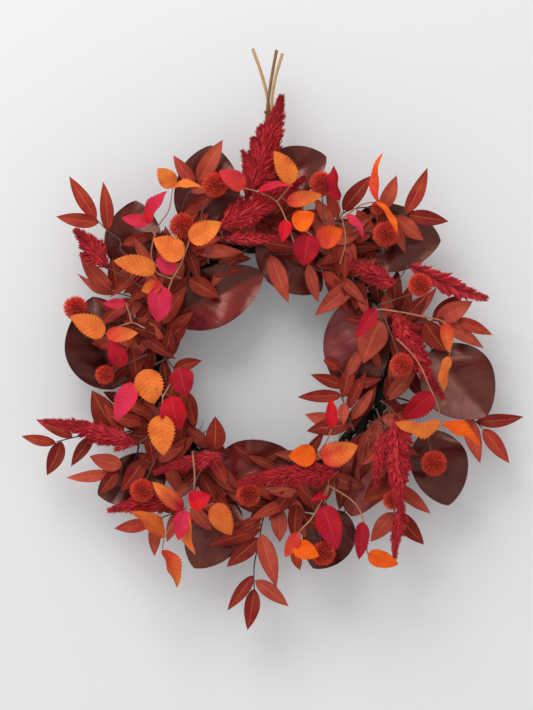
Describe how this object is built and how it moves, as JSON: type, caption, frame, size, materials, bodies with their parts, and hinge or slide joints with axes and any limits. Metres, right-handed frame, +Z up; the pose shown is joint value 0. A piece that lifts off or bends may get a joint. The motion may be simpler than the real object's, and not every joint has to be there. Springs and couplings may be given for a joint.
{
  "type": "harvest door wreath",
  "caption": "Round door wreath: wire hoop and twisted vines carrying stemmed leaves, plumes and ball heads, with crossed hanger stems and a wire loop that folds back.",
  "frame": {"origin": "the hang point, where a nail bears on the inside of the hanging loop's top", "axes": "+Z up, +X to the right as seen from the front, -Y forward out of the door"},
  "size_m": [0.605, 0.1176, 0.7016],
  "materials": {
    "wire_steel": "dark annealed wire, dull",
    "vine_bark": "dark mossy bark, rough",
    "hanger_paper": "tan paper-wrapped stem, matt",
    "magnolia_leaf": "dark wine-brown leaf with a soft satin sheen",
    "willow_leaf": "rust-red narrow leaf, matt with fine long veins",
    "beech_leaf": "orange to crimson toothed leaf with pressed side veins",
    "celosia_plume": "crimson plume of fine soft florets",
    "ball_head": "rust-red spiky flower head"
  },
  "bodies": {
    "wreath": {"frame_hoop": "wire_steel", "vine_strand_1": "vine_bark", "vine_strand_2": "vine_bark", "vine_strand_3": "vine_bark", "binding_wire_1": "wire_steel", "binding_wire_2": "wire_steel", "binding_wire_3": "wire_steel", "binding_wire_4": "wire_steel", "hanger_stem_left": "hanger_paper", "hanger_stem_middle": "hanger_paper", "hanger_stem_right": "hanger_paper", "hanger_tie": "wire_steel", "magnolia_pick_top_left": "magnolia_leaf", "magnolia_pick_left": "magnolia_leaf", "magnolia_pick_inner_left": "magnolia_leaf", "magnolia_pick_top_right": "magnolia_leaf", "magnolia_pick_right": "magnolia_leaf", "magnolia_pick_bottom_left": "magnolia_leaf", "magnolia_pick_bottom_right": "magnolia_leaf", "willow_spray_upper_left": "willow_leaf", "willow_spray_left": "willow_leaf", "willow_spray_inner_left": "willow_leaf", "willow_spray_lower_left": "willow_leaf", "willow_spray_bottom_left": "willow_leaf", "willow_spray_bottom": "willow_leaf", "willow_spray_bottom_right": "willow_leaf", "willow_spray_inner_right": "willow_leaf", "willow_spray_right_tip": "willow_leaf", "willow_spray_right": "willow_leaf", "willow_spray_top_right": "willow_leaf", "willow_spray_top_inner": "willow_leaf", "willow_spray_top_left": "willow_leaf", "beech_spray_upper_left": "beech_leaf", "beech_spray_left_top": "beech_leaf", "beech_spray_top": "beech_leaf", "beech_spray_top_centre": "beech_leaf", "beech_spray_top_right": "beech_leaf", "beech_spray_right": "beech_leaf", "beech_spray_left": "beech_leaf", "beech_spray_inner_left": "beech_leaf", "beech_spray_right_lower": "beech_leaf", "beech_spray_inner_bottom": "beech_leaf", "beech_spray_bottom_left": "beech_leaf", "beech_spray_bottom_right": "beech_leaf", "celosia_pick_top": "celosia_plume", "celosia_pick_top_centre": "celosia_plume", "celosia_pick_right": "celosia_plume", "celosia_pick_upper_left": "celosia_plume", "celosia_pick_lower_left": "celosia_plume", "celosia_pick_bottom_left": "celosia_plume", "celosia_pick_bottom": "celosia_plume", "celosia_pick_bottom_right": "celosia_plume", "ball_pick_top_left": "ball_head", "ball_pick_top_right": "ball_head", "ball_pick_right": "ball_head", "ball_pick_lower_right": "ball_head", "ball_pick_bottom": "ball_head", "ball_pick_lower_left": "ball_head", "ball_pick_left": "ball_head"},
    "loop": {"hanging_loop": "wire_steel"}
  },
  "joints": [
    {"name": "hanging_loop_swing", "type": "hinge", "parent": "wreath", "child": "loop", "pos_m": [0, 0, -0.03251], "axis": [-1, 0, 0], "range_deg": [0, 170]}
  ]
}
